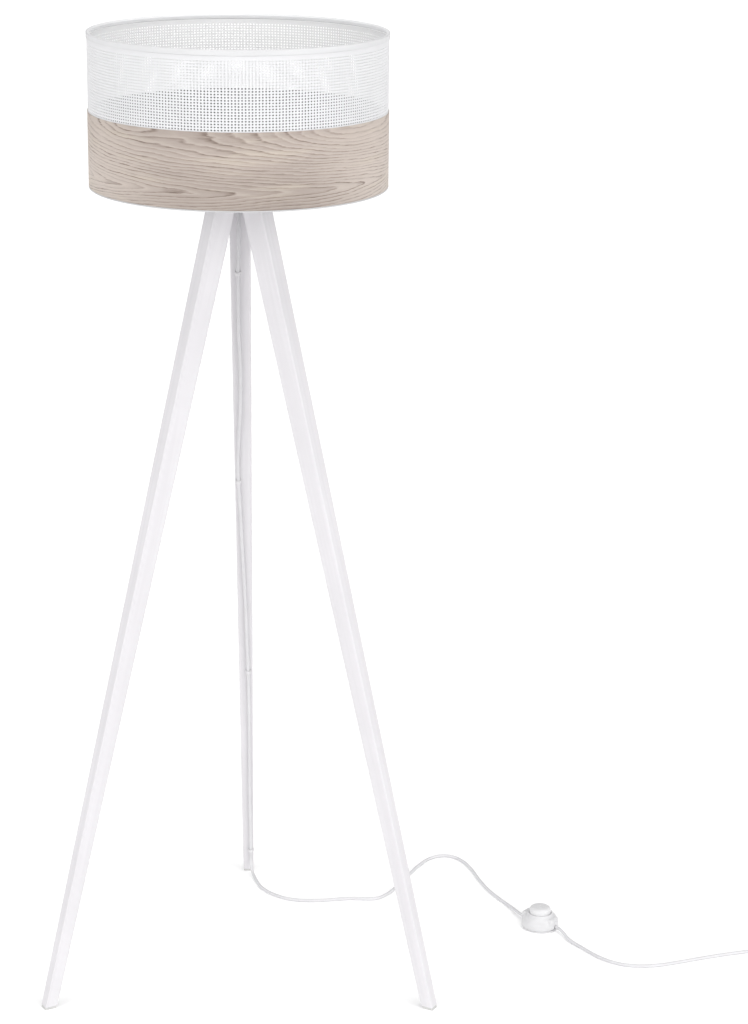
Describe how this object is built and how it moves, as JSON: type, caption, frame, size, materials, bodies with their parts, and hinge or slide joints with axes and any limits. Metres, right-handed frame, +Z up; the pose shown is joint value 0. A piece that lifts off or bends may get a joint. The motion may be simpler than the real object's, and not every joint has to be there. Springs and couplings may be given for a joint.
{
  "type": "tripod floor lamp",
  "caption": "White wooden tripod floor lamp with a drum shade, openwork above an oak-veneer band, a cord down the rear leg and a foot switch",
  "frame": {"origin": "centre of the underside of the lamp's bounding box, on the floor, the laid-out cord left out", "axes": "+Z is up, the rear leg that carries the cord points to +Y, the gap between the two front legs faces -Y, +X is to the right seen from the front"},
  "size_m": [1.3357, 0.666, 1.614],
  "materials": {
    "leg_paint": "white satin paint on straight-grained wood, the grain just showing",
    "glide_nylon": "pale grey nylon glide",
    "brass": "plain brass, machined or stamped",
    "steel": "zinc or nickel plated steel",
    "white_plastic": "white moulded plastic, satin",
    "inner_plastic": "moulded insulating plastic",
    "opal_diffuser": "opal white diffuser, satin",
    "oak_veneer": "thin greige oak veneer with brown open grain running round the shade, matt",
    "shade_liner": "white shade laminate, matt",
    "openwork_sheet": "stiffened white openwork cloth with a close grid of small square holes",
    "rim_tape": "thin pale rim tape",
    "coated_wire": "white powder-coated steel wire",
    "cord_sheath": "white flexible vinyl sheath, satin"
  },
  "bodies": {
    "lamp_frame": {"leg_left": "leg_paint", "leg_right": "leg_paint", "leg_rear": "leg_paint", "foot_glide_left": "glide_nylon", "foot_glide_right": "glide_nylon", "foot_glide_rear": "glide_nylon", "leg_insert_left": "brass", "leg_insert_right": "brass", "leg_insert_rear": "brass", "leg_screw_left": "steel", "leg_screw_right": "steel", "leg_screw_rear": "steel", "hub_disc": "leg_paint", "threaded_tube": "steel", "tube_washer": "steel", "tube_nut": "steel", "lampholder_cap": "white_plastic", "lampholder_body": "white_plastic", "lampholder_core": "inner_plastic", "centre_contact": "brass", "side_contact": "brass", "cord_leg": "cord_sheath", "cord_clip_1": "white_plastic", "cord_clip_2": "white_plastic", "cord_clip_3": "white_plastic", "cord_clip_4": "white_plastic", "switch_base": "white_plastic", "switch_housing": "white_plastic", "switch_screw_1": "steel", "switch_screw_2": "steel", "switch_mechanism": "inner_plastic", "switch_cord_clamp": "inner_plastic", "switch_spring": "steel", "cord_floor_a": "cord_sheath", "cord_floor_b": "cord_sheath", "cord_coil": "cord_sheath", "cord_tail": "cord_sheath", "coil_tie": "white_plastic", "plug_relief": "white_plastic", "plug_body": "white_plastic", "plug_pin_1": "steel", "plug_pin_2": "steel"},
    "shade": {"veneer_band": "oak_veneer", "veneer_liner": "shade_liner", "openwork_band": "openwork_sheet", "rim_tape_bottom": "rim_tape", "rim_tape_top": "rim_tape", "ring_wire_bottom": "coated_wire", "ring_wire_top": "coated_wire", "centre_ring": "coated_wire", "shade_spoke_1": "coated_wire", "shade_spoke_2": "coated_wire", "shade_spoke_3": "coated_wire"},
    "ring_nut": {"shade_ring_nut": "white_plastic"},
    "bulb_foot": {"bulb_contact": "inner_plastic"},
    "bulb": {"bulb_screw_cap": "steel", "bulb_base": "white_plastic", "bulb_globe": "opal_diffuser"},
    "foot_button": {"switch_button": "white_plastic"}
  },
  "joints": [
    {"name": "switch_press", "type": "slide", "parent": "lamp_frame", "child": "foot_button", "axis": [0, 0, 1], "range_m": [-0.004, 0], "stiffness_N_per_m": 1200, "springref_m": 0.002, "deforming": ["switch_spring"]},
    {"name": "shade_turn", "type": "hinge", "parent": "lamp_frame", "child": "shade", "pos_m": [0, -0.07062, 1.38], "axis": [0, 0, 1], "continuous": true},
    {"name": "ring_nut_turn", "type": "hinge", "parent": "lamp_frame", "child": "ring_nut", "pos_m": [0, -0.07062, 1.385], "axis": [0, 0, 1], "range_deg": [0, 30]},
    {"name": "bulb_rise", "type": "slide", "parent": "lamp_frame", "child": "bulb_foot", "axis": [0, 0, 1], "range_m": [0, 0.0092]},
    {"name": "bulb_turn", "type": "hinge", "parent": "bulb_foot", "child": "bulb", "pos_m": [0, -0.07062, 1.4], "axis": [0, 0, 1], "range_deg": [0, 900]}
  ],
  "couplings": [
    {"joint": "bulb_rise", "follows": "bulb_turn", "m_per_rad": 0.00057773}
  ]
}
